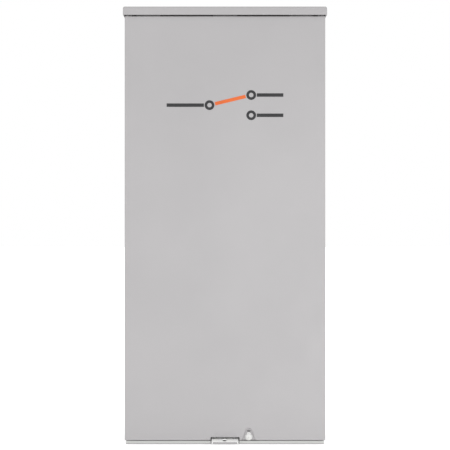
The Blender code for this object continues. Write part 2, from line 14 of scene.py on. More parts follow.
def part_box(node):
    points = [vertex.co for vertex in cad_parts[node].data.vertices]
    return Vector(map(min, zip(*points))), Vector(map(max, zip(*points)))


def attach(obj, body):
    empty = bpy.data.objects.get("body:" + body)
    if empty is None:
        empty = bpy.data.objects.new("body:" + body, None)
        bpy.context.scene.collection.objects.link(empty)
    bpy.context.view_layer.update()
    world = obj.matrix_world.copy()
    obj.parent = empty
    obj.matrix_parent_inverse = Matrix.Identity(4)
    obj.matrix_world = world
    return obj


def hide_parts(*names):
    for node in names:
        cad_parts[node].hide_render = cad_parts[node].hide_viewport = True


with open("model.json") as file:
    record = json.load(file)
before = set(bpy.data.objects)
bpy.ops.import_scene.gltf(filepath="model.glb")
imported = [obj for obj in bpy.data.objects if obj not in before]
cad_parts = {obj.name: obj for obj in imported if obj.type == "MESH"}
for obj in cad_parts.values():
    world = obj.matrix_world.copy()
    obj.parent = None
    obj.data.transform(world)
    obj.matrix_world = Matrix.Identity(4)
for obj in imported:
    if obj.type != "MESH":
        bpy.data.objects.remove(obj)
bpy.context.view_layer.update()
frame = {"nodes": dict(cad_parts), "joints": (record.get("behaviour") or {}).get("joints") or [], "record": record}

MM = 0.001


def corners(node):
    """Lowest and highest corners of a CAD node, in millimetres."""
    low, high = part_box(node)
    return low / MM, high / MM


COVER_LOW, COVER_HIGH = corners("door_panel")
BOTTOM = corners("back_box")[0].z
SHEET = 1.5
JOINTS = {joint["name"]: joint for joint in frame["joints"]}


def joint_at(name):
    """A joint's place, in millimetres."""
    return Vector(JOINTS[name]["pos_m"]) / MM


# --- finishes --------------------------------------------------------------------------------

class Finish:
    """A Principled material with helpers that wire procedural detail into it."""

    def __init__(self, name, metallic=0.0, **uniform):
        self.material = bpy.data.materials.new(name)
        self.material.use_nodes = True
        self.tree = self.material.node_tree
        self.shader = self.tree.nodes["Principled BSDF"]
        self.shader.inputs["Metallic"].default_value = metallic
        for socket, value in uniform.items():
            self.shader.inputs[socket.replace("_", " ")].default_value = value
        self.place = self.node("ShaderNodeTexCoord").outputs["Object"]

    def node(self, kind, **settings):
        made = self.tree.nodes.new(kind)
        for key, value in settings.items():
            setattr(made, key, value)
        return made

    def link(self, source, target):
        self.tree.links.new(source, target)

    def stretched(self, x, y, z):
        mapping = self.node("ShaderNodeMapping")
        mapping.inputs["Scale"].default_value = (x, y, z)
        self.link(self.place, mapping.inputs["Vector"])
        return mapping.outputs["Vector"]

    def noise(self, scale, detail=2.0, where=None):
        made = self.node("ShaderNodeTexNoise")
        made.inputs["Scale"].default_value = scale
        made.inputs["Detail"].default_value = detail
        self.link(where or self.place, made.inputs["Vector"])
        return made.outputs["Fac"]

    def cells(self, scale, output="Color", feature="F1"):
        made = self.node("ShaderNodeTexVoronoi", feature=feature)
        made.inputs["Scale"].default_value = scale
        self.link(self.place, made.inputs["Vector"])
        return made.outputs[output]

    def spread(self, value, low, high, start=0.3, stop=0.7):
        """Map a texture's range start..stop to low..high."""
        made = self.node("ShaderNodeMapRange")
        for socket, number in (("From Min", start), ("From Max", stop), ("To Min", low), ("To Max", high)):
            made.inputs[socket].default_value = number
        self.link(value, made.inputs["Value"])
        return made.outputs["Result"]

    def add(self, first, second, share=1.0):
        made = self.node("ShaderNodeMath", operation="MULTIPLY_ADD")
        self.link(second, made.inputs[0])
        made.inputs[1].default_value = share
        self.link(first, made.inputs[2])
        return made.outputs["Value"]

    def blend(self, factor, first, second):
        """Mix two colours, each a tuple or another blend's output."""
        made = self.node("ShaderNodeMix", data_type="RGBA")
        self.link(factor, made.inputs["Factor"])
        for socket, colour in (("A", first), ("B", second)):
            target = next(i for i in made.inputs if i.name == socket and i.type == "RGBA")
            if isinstance(colour, tuple):
                target.default_value = (*colour, 1.0)
            else:
                self.link(colour, target)
        return next(o for o in made.outputs if o.type == "RGBA")

    def finish(self, colour, roughness, height, relief, strength=1.0):
        """Wire colour, roughness and a bump of relief metres, and return the material."""
        self.link(colour, self.shader.inputs["Base Color"])
        self.link(roughness, self.shader.inputs["Roughness"])
        bump = self.node("ShaderNodeBump")
        bump.inputs["Strength"].default_value = strength
        bump.inputs["Distance"].default_value = relief
        self.link(height, bump.inputs["Height"])
        self.link(bump.outputs["Normal"], self.shader.inputs["Normal"])
        return self.material


def powder_coat(name, light, dark):
    """Satin powder paint: orange peel, faint cloudiness, fine dust specks and dry rub marks."""
    paint = Finish(name, Specular_IOR_Level=0.42)
    cloud = paint.noise(5.0, 3.0)
    speck = paint.spread(paint.noise(900.0, 1.0), 0.0, 1.0, 0.70, 0.78)
    rub = paint.spread(paint.noise(60.0, 4.0, paint.stretched(1.0, 1.0, 0.15)), 0.0, 1.0, 0.55, 0.8)
    colour = paint.blend(paint.spread(cloud, 0.0, 1.0), dark, light)
    colour = paint.blend(paint.spread(speck, 0.0, 0.25, 0.0, 1.0), colour, tuple(c * 0.7 for c in dark))
    rough = paint.add(paint.spread(paint.noise(18.0, 3.0), 0.40, 0.50), rub, 0.06)
    peel = paint.add(paint.noise(420.0, 2.0), paint.noise(1500.0, 1.0), 0.35)
    return paint.finish(colour, rough, peel, 0.00006, 0.35)


def plated(name, light, dark, tint, low=0.18, high=0.34, metallic=1.0):
    """Zinc plate: fine drawn lines, a slight rainbow stain and small handling marks."""
    zinc = Finish(name, metallic=metallic)
    lines = zinc.noise(900.0, 2.0, zinc.stretched(0.06, 1.0, 1.0))
    stain = zinc.noise(90.0, 3.0)
    colour = zinc.blend(zinc.spread(stain, 0.0, 1.0), light, dark)
    colour = zinc.blend(zinc.spread(zinc.noise(45.0, 2.0), 0.0, 0.35, 0.5, 0.8), colour, tint)
    rough = zinc.add(zinc.spread(stain, low, high), lines, 0.06)
    return zinc.finish(colour, rough, lines, 0.00003, 0.4)


def spangled(name):
    """Galvanised sheet: crystal grains that differ in tone and gloss, under fine scratches."""
    sheet = Finish(name, metallic=1.0)
    grains_per_metre = 105.0
    grain = sheet.node("ShaderNodeSeparateColor")
    sheet.link(sheet.cells(grains_per_metre), grain.inputs["Color"])
    tone = grain.outputs["Red"]
    scratch = sheet.noise(500.0, 2.0, sheet.stretched(1.0, 1.0, 0.08))
    colour = sheet.blend(tone, (0.52, 0.54, 0.55), (0.64, 0.66, 0.67))
    rough = sheet.add(sheet.spread(tone, 0.36, 0.48, 0.0, 1.0), scratch, 0.08)
    borders = sheet.cells(grains_per_metre, "Distance", "DISTANCE_TO_EDGE")
    height = sheet.add(scratch, borders, 0.6)
    return sheet.finish(colour, rough, height, 0.00004, 0.35)


def rolled(name, light, dark, tarnish):
    """Bare busbar metal with rolling lines and patches of tarnish."""
    metal = Finish(name, metallic=1.0)
    lines = metal.noise(700.0, 2.0, metal.stretched(1.0, 1.0, 0.05))
    patch = metal.noise(55.0, 4.0)
    colour = metal.blend(metal.spread(patch, 0.0, 1.0), light, dark)
    colour = metal.blend(metal.spread(metal.noise(160.0, 3.0), 0.0, 0.6, 0.55, 0.75), colour, tarnish)
    rough = metal.add(metal.spread(patch, 0.24, 0.42), lines, 0.08)
    return metal.finish(colour, rough, lines, 0.00004, 0.4)


def moulded(name, light, dark, low, high, grain=1100.0, relief=0.00005):
    """Moulded plastic or rubber with a spark-eroded grain and slight scuffs."""
    plastic = Finish(name, Specular_IOR_Level=0.45)
    cloud = plastic.noise(30.0, 3.0)
    scuff = plastic.spread(plastic.noise(220.0, 4.0, plastic.stretched(1.0, 0.3, 0.3)), 0.0, 1.0, 0.58, 0.8)
    colour = plastic.blend(plastic.spread(cloud, 0.0, 1.0), dark, light)
    rough = plastic.add(plastic.spread(cloud, low, high), scuff, 0.1)
    texture = plastic.add(plastic.noise(grain, 2.0), scuff, -0.2)
    return plastic.finish(colour, rough, texture, relief, 0.4)


def fibre_board(name):
    """Glass-polyester board: tangled pale strands under red resin."""
    board = Finish(name, Specular_IOR_Level=0.4)
    strands = board.noise(260.0, 5.0, board.stretched(1.0, 1.0, 0.35))
    colour = board.blend(board.spread(strands, 0.0, 1.0, 0.45, 0.7), (0.20, 0.035, 0.022), (0.36, 0.10, 0.07))
    return board.finish(colour, board.spread(strands, 0.45, 0.62), strands, 0.00008, 0.4)


GREY_LIGHT, GREY_DARK = (0.389, 0.379, 0.384), (0.363, 0.354, 0.359)
FINISHES = {
    "grey_paint": powder_coat("grey_powder_coat", GREY_LIGHT, GREY_DARK),
    # A paler copy of the grey paint for the ledge's edge: painted light on the strip under the cover.
    "ledge_painted_light": powder_coat("painted_light_ledge_paint", (0.490, 0.500, 0.482), (0.452, 0.462, 0.445)),
    # A darker copy of the grey paint for the latch's front lip: painted shade, standing for the shadow under the
    # latch plate.
    "lip_painted_shade": powder_coat("painted_shade_lip_paint", (0.325, 0.318, 0.322), (0.285, 0.279, 0.283)),
    "zinc": plated("bright_zinc", (0.86, 0.86, 0.85), (0.72, 0.73, 0.74), (0.80, 0.78, 0.66)),
    # Paler, less metallic zinc for the cover screw and seal tab: the zinc's own colour with painted reflection
    # added, standing for their bright sheen.
    "frosted_zinc_painted_reflection": plated("frosted_zinc_painted_reflection", (0.69, 0.69, 0.68), (0.62, 0.62, 0.61), (0.64, 0.63, 0.58),
                           0.36, 0.50, 0.35),
    # Nearly white, barely metallic zinc for the latch: its brightness is painted reflection, standing for the
    # light the plate's slope reflects.
    "latch_zinc_painted_reflection": plated("painted_reflection_zinc", (0.94, 0.94, 0.93), (0.88, 0.88, 0.87), (0.89, 0.88, 0.84),
                         0.40, 0.52, 0.10),
    "galvanised": spangled("galvanised_spangle"),
    "copper": rolled("busbar_copper", (0.80, 0.47, 0.31), (0.62, 0.33, 0.20), (0.34, 0.17, 0.10)),
    "lug_aluminium": rolled("tumbled_aluminium", (0.80, 0.81, 0.82), (0.62, 0.63, 0.65), (0.48, 0.49, 0.50)),
    "black_moulding": moulded("black_phenolic", (0.030, 0.030, 0.032), (0.018, 0.018, 0.020), 0.42, 0.58),
    "insulating_board": fibre_board("red_fibre_board"),
    "handle_plastic": moulded("red_handle_moulding", (0.58, 0.055, 0.025), (0.46, 0.038, 0.018), 0.28, 0.42,
                              700.0, 0.00003),
    "bumper_rubber": moulded("bumper_rubber", (0.035, 0.035, 0.036), (0.020, 0.020, 0.021), 0.70, 0.85),
    "mark_ink": moulded("dark_mark_ink", (0.020, 0.020, 0.022), (0.012, 0.012, 0.013), 0.46, 0.58,
                        1500.0, 0.00001),
    "accent_ink": moulded("orange_mark_ink", (0.68, 0.13, 0.02), (0.58, 0.105, 0.016), 0.40, 0.52,
                          1500.0, 0.00001),
}


# The record's slot for each finish; the variants made here share the slot of the plain finish.
RECORD_SLOTS = {m["slot"]: m["slot"] for m in frame["record"]["materials"]}
RECORD_SLOTS |= {"frosted_zinc_painted_reflection": "zinc", "latch_zinc_painted_reflection": "zinc"}
RECORD_SLOTS |= {"ledge_painted_light": "grey_paint", "lip_painted_shade": "grey_paint"}


# --- shaping ---------------------------------------------------------------------------------

SMOOTH_ANGLE = math.radians(32)


def smooth_group():
    """Geometry nodes that shade a faceted mesh smooth up to the smooth angle."""
    group = bpy.data.node_groups.new("smooth_by_angle", "GeometryNodeTree")
    group.interface.new_socket("Geometry", in_out="INPUT", socket_type="NodeSocketGeometry")
    group.interface.new_socket("Geometry", in_out="OUTPUT", socket_type="NodeSocketGeometry")
    nodes, links = group.nodes, group.links
    start, end = nodes.new("NodeGroupInput"), nodes.new("NodeGroupOutput")
    angle = nodes.new("GeometryNodeInputMeshEdgeAngle")
    gentle = nodes.new("FunctionNodeCompare")
    gentle.operation = "LESS_EQUAL"
    gentle.inputs[1].default_value = SMOOTH_ANGLE
    links.new(angle.outputs["Unsigned Angle"], gentle.inputs[0])
    faces = nodes.new("GeometryNodeSetShadeSmooth")
    faces.domain = "FACE"
    edges = nodes.new("GeometryNodeSetShadeSmooth")
    edges.domain = "EDGE"
    links.new(start.outputs[0], faces.inputs["Geometry"])
    links.new(faces.outputs[0], edges.inputs["Geometry"])
    links.new(gentle.outputs[0], edges.inputs["Shade Smooth"])
    links.new(edges.outputs[0], end.inputs[0])
    return group


SMOOTH = smooth_group()


def smooth(piece):
    """Smooth shading on gentle folds, with large flat faces kept flat."""
    piece.modifiers.new("smooth_by_angle", "NODES").node_group = SMOOTH
    flat = piece.modifiers.new("large_faces", "WEIGHTED_NORMAL")
    flat.weight = 100
    flat.keep_sharp = True
    return piece


def soften(piece, width, segments=2):
    """Break the sharp edges with a bevel of width millimetres."""
    bevel = piece.modifiers.new("edges", "BEVEL")
    bevel.width = width * MM
    bevel.segments = segments
    bevel.limit_method = "ANGLE"
    bevel.angle_limit = SMOOTH_ANGLE
    return piece


def add(name, bm, slot, body, edge=0.0, replaces=(), segments=2, at=(0, 0, 0), tilt=0.0):
    """Finish a bmesh as a piece that rides on a body, wears a finish and may stand for CAD nodes."""
    mesh = bpy.data.meshes.new(name)
    bmesh.ops.recalc_face_normals(bm, faces=bm.faces)
    bm.to_mesh(mesh)
    bm.free()
    piece = bpy.data.objects.new(name, mesh)
    piece.location = Vector(at) * MM
    piece.rotation_euler.x = math.radians(tilt)
    bpy.context.scene.collection.objects.link(piece)
    mesh.materials.append(FINISHES[slot])
    if edge:
        soften(piece, edge, segments)
    smooth(piece)
    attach(piece, body)
    if replaces:
        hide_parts(*replaces)
    return piece


def cube(low, high):
    """A box between two corners."""
    bm = bmesh.new()
    low, high = Vector(low) * MM, Vector(high) * MM
    place = Matrix.Translation((low + high) / 2) @ Matrix.Diagonal((*(high - low), 1.0))
    bmesh.ops.create_cube(bm, size=1.0, matrix=place)
    return bm


def rod(start, end, radius, sides=32, tip=None, bm=None):
    """A rod between two points, tapered if tip gives its end's radius, added to bm if one is given."""
    bm = bm or bmesh.new()
    start, end = Vector(start) * MM, Vector(end) * MM
    along = end - start
    turn = along.to_track_quat("Z", "Y").to_matrix().to_4x4()
    bmesh.ops.create_cone(bm, cap_ends=True, segments=sides, radius1=radius * MM,
                          radius2=(radius if tip is None else tip) * MM, depth=along.length,
                          matrix=Matrix.Translation((start + end) / 2) @ turn)
    return bm


def prism(points, low, high, axis):
    """An outline given depth along an axis: (u, v) are (y, z) for X, (x, z) for Y, (x, y) for Z."""
    order = {"X": lambda u, v, w: (w, u, v), "Y": lambda u, v, w: (u, w, v), "Z": lambda u, v, w: (u, v, w)}
    bm = bmesh.new()
    verts = [bm.verts.new(Vector(order[axis](u, v, low)) * MM) for u, v in points]
    face = bm.faces.new(verts)
    grown = bmesh.ops.extrude_face_region(bm, geom=[face])["geom"]
    step = Vector(order[axis](0, 0, high - low)) * MM
    bmesh.ops.translate(bm, verts=[g for g in grown if isinstance(g, bmesh.types.BMVert)], vec=step)
    return bm


def turned(profile, steps=48):
    """A solid of revolution about Y from (radius, y) points that start and end on the axis."""
    bm = bmesh.new()
    verts = [bm.verts.new((r * MM, y * MM, 0.0)) for r, y in profile]
    edges = [bm.edges.new(pair) for pair in zip(verts, verts[1:])]
    bmesh.ops.spin(bm, geom=verts + edges, axis=(0, 1, 0), cent=(0, 0, 0), steps=steps, angle=math.tau,
                   use_merge=True)
    bmesh.ops.remove_doubles(bm, verts=bm.verts, dist=1e-6)
    return bm


def arc(u, v, radius, start, end, steps):
    """Points on a circle about (u, v), from start to end degrees."""
    angles = [math.radians(start + (end - start) * i / steps) for i in range(steps + 1)]
    return [(u + radius * math.cos(a), v + radius * math.sin(a)) for a in angles]


def oval(u, v, half_width, half_height, steps):
    turns = [math.tau * i / steps for i in range(steps)]
    return [(u + half_width * math.cos(t), v + half_height * math.sin(t)) for t in turns]


def quarter(steps):
    """Angles of a quarter turn, without its start."""
    return [math.pi / 2 * i / steps for i in range(1, steps + 1)]


def strip(path, thickness):
    """The closed outline of a bent strip of even thickness along a path."""
    normals = []
    for i in range(len(path)):
        before = Vector(path[max(i - 1, 0)])
        after = Vector(path[min(i + 1, len(path) - 1)])
        along = (after - before).normalized()
        normals.append(Vector((-along.y, along.x)) * thickness / 2)
    there = [tuple(Vector(p) + n) for p, n in zip(path, normals)]
    back = [tuple(Vector(p) - n) for p, n in zip(path, normals)]
    return there + back[::-1]


def rounded_path(points, radius, steps=5):
    """A polyline with its inner corners turned into arcs (quadratic blends)."""
    path = [Vector(points[0])]
    for before, here, after in zip(points, points[1:], points[2:]):
        here = Vector(here)
        into, out = Vector(before) - here, Vector(after) - here
        reach = min(radius, into.length * 0.45, out.length * 0.45)
        a, b = here + into.normalized() * reach, here + out.normalized() * reach
        for i in range(steps + 1):
            t = i / steps
            path.append(a * (1 - t) ** 2 + here * 2 * t * (1 - t) + b * t ** 2)
    return [tuple(p) for p in path] + [tuple(points[-1])]


def scratch(bm):
    """A temporary object made from a bmesh, which is used up."""
    mesh = bpy.data.meshes.new("scratch")
    bmesh.ops.recalc_face_normals(bm, faces=bm.faces)
    bm.to_mesh(mesh)
    bm.free()
    made = bpy.data.objects.new("scratch", mesh)
    bpy.context.scene.collection.objects.link(made)
    return made


def applied(target, *others):
    """The bmesh of a temporary object with its modifiers applied; the objects are removed."""
    evaluated = target.evaluated_get(bpy.context.evaluated_depsgraph_get())
    mesh = bpy.data.meshes.new_from_object(evaluated)
    for scrap in (target, *others):
        bpy.data.objects.remove(scrap, do_unlink=True)
    made = bmesh.new()
    made.from_mesh(mesh)
    bpy.data.meshes.remove(mesh)
    return made


def carve(bm, tool, operation="DIFFERENCE"):
    """The exact Boolean of two bmeshes; both are used up."""
    target, cutter = scratch(bm), scratch(tool)
    change = target.modifiers.new("carve", "BOOLEAN")
    change.operation = operation
    change.solver = "EXACT"
    change.object = cutter
    return applied(target, cutter)


def folded(low, high, open_faces, bend, steps):
    """An open sheet box with rounded bends; open_faces lists the outward directions left out."""
    bm = cube(low, high)
    gone = [f for f in bm.faces if any(f.normal.dot(Vector(d)) > 0.9 for d in open_faces)]
    bmesh.ops.delete(bm, geom=gone, context="FACES")
    folds = [e for e in bm.edges if len(e.link_faces) == 2]
    bmesh.ops.bevel(bm, geom=folds, offset=bend * MM, segments=steps, profile=0.5, affect="EDGES")
    return bm


def thickened(bm, thickness):
    """Give an open sheet its thickness, growing inwards from the drawn face."""
    sheet = scratch(bm)
    solid = sheet.modifiers.new("sheet", "SOLIDIFY")
    solid.thickness = thickness * MM
    solid.offset = -1.0
    solid.use_even_offset = True
    return applied(sheet)


# --- cover and hood --------------------------------------------------------------------------

SCREW = joint_at("cover_screw_turn")
FRONT = SCREW.y                 # the cover's outer face
LATCH = joint_at("latch_press")
LATCH_HALF = corners("latch_tongue")[1].x
BEND = 1.7                      # outer radius of the cover's folded edges
SCREW_HOLE = 3.1                # radius of the screw's hole in the cover and the seal tab
RECESS_DEPTH, RECESS_HEIGHT, RECESS_WALL = 2.3, 22.0, 2.6
RECESS_TOP = COVER_LOW.z + RECESS_HEIGHT
THROUGH = 3.0                   # how far a cutter starts in front of the cover
SIDES = ((-1, "left"), (1, "right"))


def recess_half_width(z):
    """The bell's half width at a height: flared at the cover's edge, round above the screw."""
    mouth, flare, dome = 12.6, 8.4, 6.0
    up = min(1.0, max(0.0, (z - COVER_LOW.z) / RECESS_HEIGHT))
    crown = min(1.0, max(0.0, (RECESS_TOP - z) / dome))
    return (mouth - flare * up ** 0.6) * math.sqrt(crown)


def eased(value):
    """A smooth step from 0 to 1."""
    value = min(1.0, max(0.0, value))
    return value * value * (3 - 2 * value)


def press_recess(bm):
    """Press the bell-shaped recess round the cover screw, running out through the lower edge."""
    left, right, head = SCREW.x - 16, SCREW.x + 16, COVER_LOW.z + 27
    divisions, head_slope = 52, 4.0
    for point, normal in (((left, 0, 0), (1, 0, 0)), ((right, 0, 0), (1, 0, 0)), ((0, 0, head), (0, 0, 1))):
        everything = list(bm.verts) + list(bm.edges) + list(bm.faces)
        bmesh.ops.bisect_plane(bm, geom=everything, plane_co=Vector(point) * MM, plane_no=normal, dist=1e-7)
    edges = set()
    for face in bm.faces:
        middle = face.calc_center_median() / MM
        if not (left < middle.x < right and middle.z < head and middle.y < FRONT + BEND):
            continue
        flat = middle.y < FRONT + 0.01
        for edge in face.edges:
            along = edge.verts[0].co - edge.verts[1].co
            if flat or abs(along.x) > abs(along.y) + abs(along.z):
                edges.add(edge)
    bmesh.ops.subdivide_edges(bm, edges=list(edges), cuts=divisions, use_grid_fill=True)
    for vert in bm.verts:
        x, y, z = vert.co / MM
        if y < FRONT + BEND + 0.1 and left < x < right and z < head:
            across = eased((recess_half_width(z) + RECESS_WALL / 2 - abs(x - SCREW.x)) / RECESS_WALL)
            vert.co.y += RECESS_DEPTH * across * eased((RECESS_TOP - z) / head_slope) * MM


def cover():
    """Formed cover: folded sides and foot, latch notch, screw hole, seal slot and finger pull."""
    low, high = COVER_LOW, COVER_HIGH
    bm = folded((low.x, FRONT, low.z), (high.x, high.y, high.z), ((0, 1, 0), (0, 0, 1)), BEND, 5)
    press_recess(bm)
    bm = thickened(bm, SHEET)
    near, far = FRONT - THROUGH, FRONT + 20

    inner, foot_return = high.x - SHEET - 0.1, FRONT + 6.1
    bm = carve(bm, cube((-inner, foot_return, low.z - 1), (inner, high.y + 2, low.z + 8)))
    notch, notch_top, turn = LATCH_HALF + 2, low.z + 5.6, 1.5
    opening = [(-notch, low.z - 2), (notch, low.z - 2)]
    opening += arc(notch - turn, notch_top - turn, turn, 0, 90, 6)
    opening += arc(-notch + turn, notch_top - turn, turn, 90, 180, 6)
    bm = carve(bm, prism(opening, near, far, "Y"))
    bm = carve(bm, rod((SCREW.x, near, SCREW.z), (SCREW.x, far, SCREW.z), SCREW_HOLE))
    bm = carve(bm, prism(oval(SCREW.x, SCREW.z + 9.8, SCREW_HOLE, 1.6, 24), near, far, "Y"))

    pull, half_width, half_height, turn = low.z + 9.5, 17, 2.5, 1.2
    pocket = [point for x, z, start in ((1, -1, -90), (1, 1, 0), (-1, 1, 90), (-1, -1, 180))
              for point in arc(x * (half_width - turn), pull + z * (half_height - turn), turn,
                               start, start + 90, 6)]
    bm = carve(bm, prism(pocket, FRONT - 1, FRONT + 0.45, "Y"))
    add("cover_panel", bm, "grey_paint", "door", 0.25, ("door_panel",))


def hood():
    """Drip hood folded from one sheet, open below and against the wall."""
    low, high = corners("drip_hood")
    bm = thickened(folded(low, high, ((0, 0, -1), (0, 1, 0)), 3.2, 7), SHEET)
    add("hood_shell", bm, "grey_paint", "cabinet", 0.3, ("drip_hood",))


def ledge_edge():
    """The rolled edge of the ledge under the cover, parted for the latch, as a thin skin in a paler copy of the
    grey paint: painted light on the edge.
    """
    half, gap, skin = corners("back_box")[1].x - 0.4, LATCH_HALF + 1.8, 0.16
    ledge_front, under = -164.0, -156.0
    face, foot, head = ledge_front - skin, BOTTOM + skin / 2, BOTTOM + 5.4
    path = [(face, head), (face, foot + 2.4), (face + 0.5, foot + 1.1), (face + 1.6, foot + 0.2),
            (under, foot + 0.2)]
    for side, low, high in (("left", -half, -gap), ("right", gap, half)):
        add(f"ledge_edge_{side}", prism(strip(path, skin), low, high, "X"), "ledge_painted_light", "cabinet")


def front_mark():
    """A generic changeover-switch symbol printed on the cover: one common, one lever, two contacts."""
    middle, throw, line = 202.0, 17.0, 2.9
    left, pivot, contact, right = -98.0, -26.0, 44.0, 98.0
    outer, inner, gap, lever_gap = 8.2, 3.8, 1.2, 1.4
    near, far = FRONT - 0.14, FRONT - 0.02

    def bar(name, x0, z0, x1, z1, slot="mark_ink"):
        along = Vector((x1 - x0, z1 - z0)).normalized() * line
        side = Vector((-along.y, along.x))
        a, b = Vector((x0, z0)), Vector((x1, z1))
        outline = [tuple(p) for p in (a + side, a - side, b - side, b + side)]
        add(name, prism(outline, near, far, "Y"), slot, "door")

    def ring(name, x, z):
        bm = prism(arc(x, z, outer, 0, 350, 35), near, far, "Y")
        hole = prism(arc(x, z, inner, 0, 345, 23), near - 1, far + 1, "Y")
        add(name, carve(bm, hole), "mark_ink", "door")

    ring("mark_common", pivot, middle)
    bar("mark_line_common", left, middle, pivot - outer - gap, middle)
    for name, side in (("utility", 1), ("generator", -1)):
        height = middle + side * throw
        ring(f"mark_{name}", contact, height)
        bar(f"mark_line_{name}", contact + outer + gap, height, right, height)
    common, thrown = Vector((pivot, middle)), Vector((contact, middle + throw))
    toward = (thrown - common).normalized() * (outer + lever_gap)
    bar("mark_lever", *(common + toward), *(thrown - toward), "accent_ink")


# --- latch and cover screw -------------------------------------------------------------------

def latch():
    """Pressed latch tongue with rolled edges, its barrel in two halves about a torsion spring."""
    at = {"at": tuple(LATCH)}
    half, sheet, barrel, bore, corner, padlock = LATCH_HALF, 1.4, 3.3, 1.95, 3.4, 4.0
    bends = [(0.0, -2.9), (-4.5, -2.9), (-10.0, -6.6), (-15.0, -7.2), (-27.8, -11.4), (-27.9, -13.9)]
    path = rounded_path(bends, 1.6, 5)
    bm = prism(strip(path, sheet), -half, half, "X")
    for side, start, end in ((-1, 180, 270), (1, 0, -90)):
        ends = sorted((side * 10, side * (half - 0.1)))
        bm = carve(bm, rod((ends[0], 0, 0), (ends[1], 0, 0), barrel), "UNION")
        tip = [(side * (half + 1), -30), (side * (half + 1), -24)]
        tip += arc(side * (half - corner), -25.4, corner, start, end, 8)
        tip += [(side * (half - corner), -30)]
        bm = carve(bm, prism(tip, -20, -5, "Z"))
    bm = carve(bm, rod((-half - 1, 0, 0), (half + 1, 0, 0), bore))
    bm = carve(bm, rod((-1, -21.5, -20), (-1, -21.5, 0), padlock, 40))
    add("latch_strip", bm, "latch_zinc_painted_reflection", "latch", 0.28, ("latch_tongue",), 3, **at)

    # A thin sheet over the tongue's front edge in the darker paint: painted shade under the latch plate.
    lip = strip([(-28.08, -11.1), (-28.12, -14.25)], 1.5)
    add("latch_lip", prism(lip, -half + 1.8, half - 1.8, "X"), "lip_painted_shade", "latch", 0.3, (), 3, **at)

    latch_spring()


def latch_spring():
    """Torsion spring wound round the latch pin, with a leg to each part."""
    coil_radius, wire, turns, pitch, steps = 2.75, 0.42, 6, 1.05, 16
    points = [(-5.0, 9.0, -9.0)]
    for i in range(turns * steps + 1):
        turn = math.tau * i / steps
        points.append((pitch * i / steps - turns * pitch / 2, coil_radius * math.cos(turn),
                       coil_radius * math.sin(turn)))
    points.append((5.0, -6.0, -1.6))
    curve = bpy.data.curves.new("latch_spring", "CURVE")
    curve.dimensions = "3D"
    curve.bevel_depth = wire * MM
    curve.bevel_resolution = 2
    curve.use_fill_caps = True
    spline = curve.splines.new("POLY")
    spline.points.add(len(points) - 1)
    for point, place in zip(spline.points, points):
        point.co = (*((Vector(place) + LATCH) * MM), 1.0)
    spring = bpy.data.objects.new("latch_spring", curve)
    bpy.context.scene.collection.objects.link(spring)
    curve.materials.append(FINISHES["zinc"])
    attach(spring, "cabinet")


def thread(bm, radius, start, end, pitch):
    """A helical ridge round Y, as one closed skin between two flat ends."""
    around, rows_per_turn, height, run_out = 28, 6, 0.34, 0.5
    rows = int((end - start) / pitch * rows_per_turn)
    rings = []
    for row in range(rows + 1):
        y = start + (end - start) * row / rows
        taper = min(1.0, (rows - row) / rows_per_turn)
        ring = []
        for i in range(around):
            turn = i / around
            wave = abs(((y / pitch + turn) % 1.0) * 2 - 1)
            r = (radius - height * wave * taper - (1 - taper) * run_out) * MM
            angle = turn * math.tau
            ring.append(bm.verts.new((r * math.cos(angle), y * MM, r * math.sin(angle))))
        rings.append(ring)
    for a, b in zip(rings, rings[1:]):
        for i in range(around):
            j = (i + 1) % around
            bm.faces.new((a[i], a[j], b[j], b[i]))
    bm.faces.new(rings[0])
    bm.faces.new(rings[-1])


def cover_screw():
    """Pan head with a driver slot and a threaded shank, over a teardrop seal tab."""
    low, high = corners("cover_screw")
    head = high.x - SCREW.x
    front, back, shank = low.y - FRONT, 0.7, high.y - FRONT
    thread_radius, pitch = 2.7, 1.27
    profile = [(0.0, front)]
    profile += [(head * math.sin(a), back - (back - front) * (0.45 + 0.55 * math.cos(a))) for a in quarter(9)]
    profile += [(head, back), (0.0, back)]
    slot = cube((-0.5, front - 1, -head - 1), (0.5, front + 1.1, head + 1))
    bm = carve(turned(profile, 56), slot)
    thread(bm, thread_radius, back - 0.2, shank, pitch)
    add("cover_screw_body", bm, "frosted_zinc_painted_reflection", "cover_screw", 0.0, ("cover_screw",),
        at=(SCREW.x, FRONT, SCREW.z))

    tab_low, tab_high = corners("seal_tab")
    outline = arc(SCREW.x, SCREW.z, 6.2, -197, 17, 40) + arc(SCREW.x, SCREW.z + 4.2, 3.6, 20, 160, 20)
    hole = rod((SCREW.x, FRONT - THROUGH, SCREW.z), (SCREW.x, FRONT + 10, SCREW.z), SCREW_HOLE)
    tab = carve(prism(outline, tab_low.y, tab_high.y, "Y"), hole)
    add("seal_tab_plate", tab, "frosted_zinc_painted_reflection", "door", 0.35, ("seal_tab",), 3)


# --- inside ----------------------------------------------------------------------------------

BAR_ROW = -195.0                # height of the neutral and ground bars' screws
PLATE_LEFT, PLATE_RIGHT, PLATE_BOTTOM, PLATE_TOP = -92.0, -36.0, 232.0, 272.0


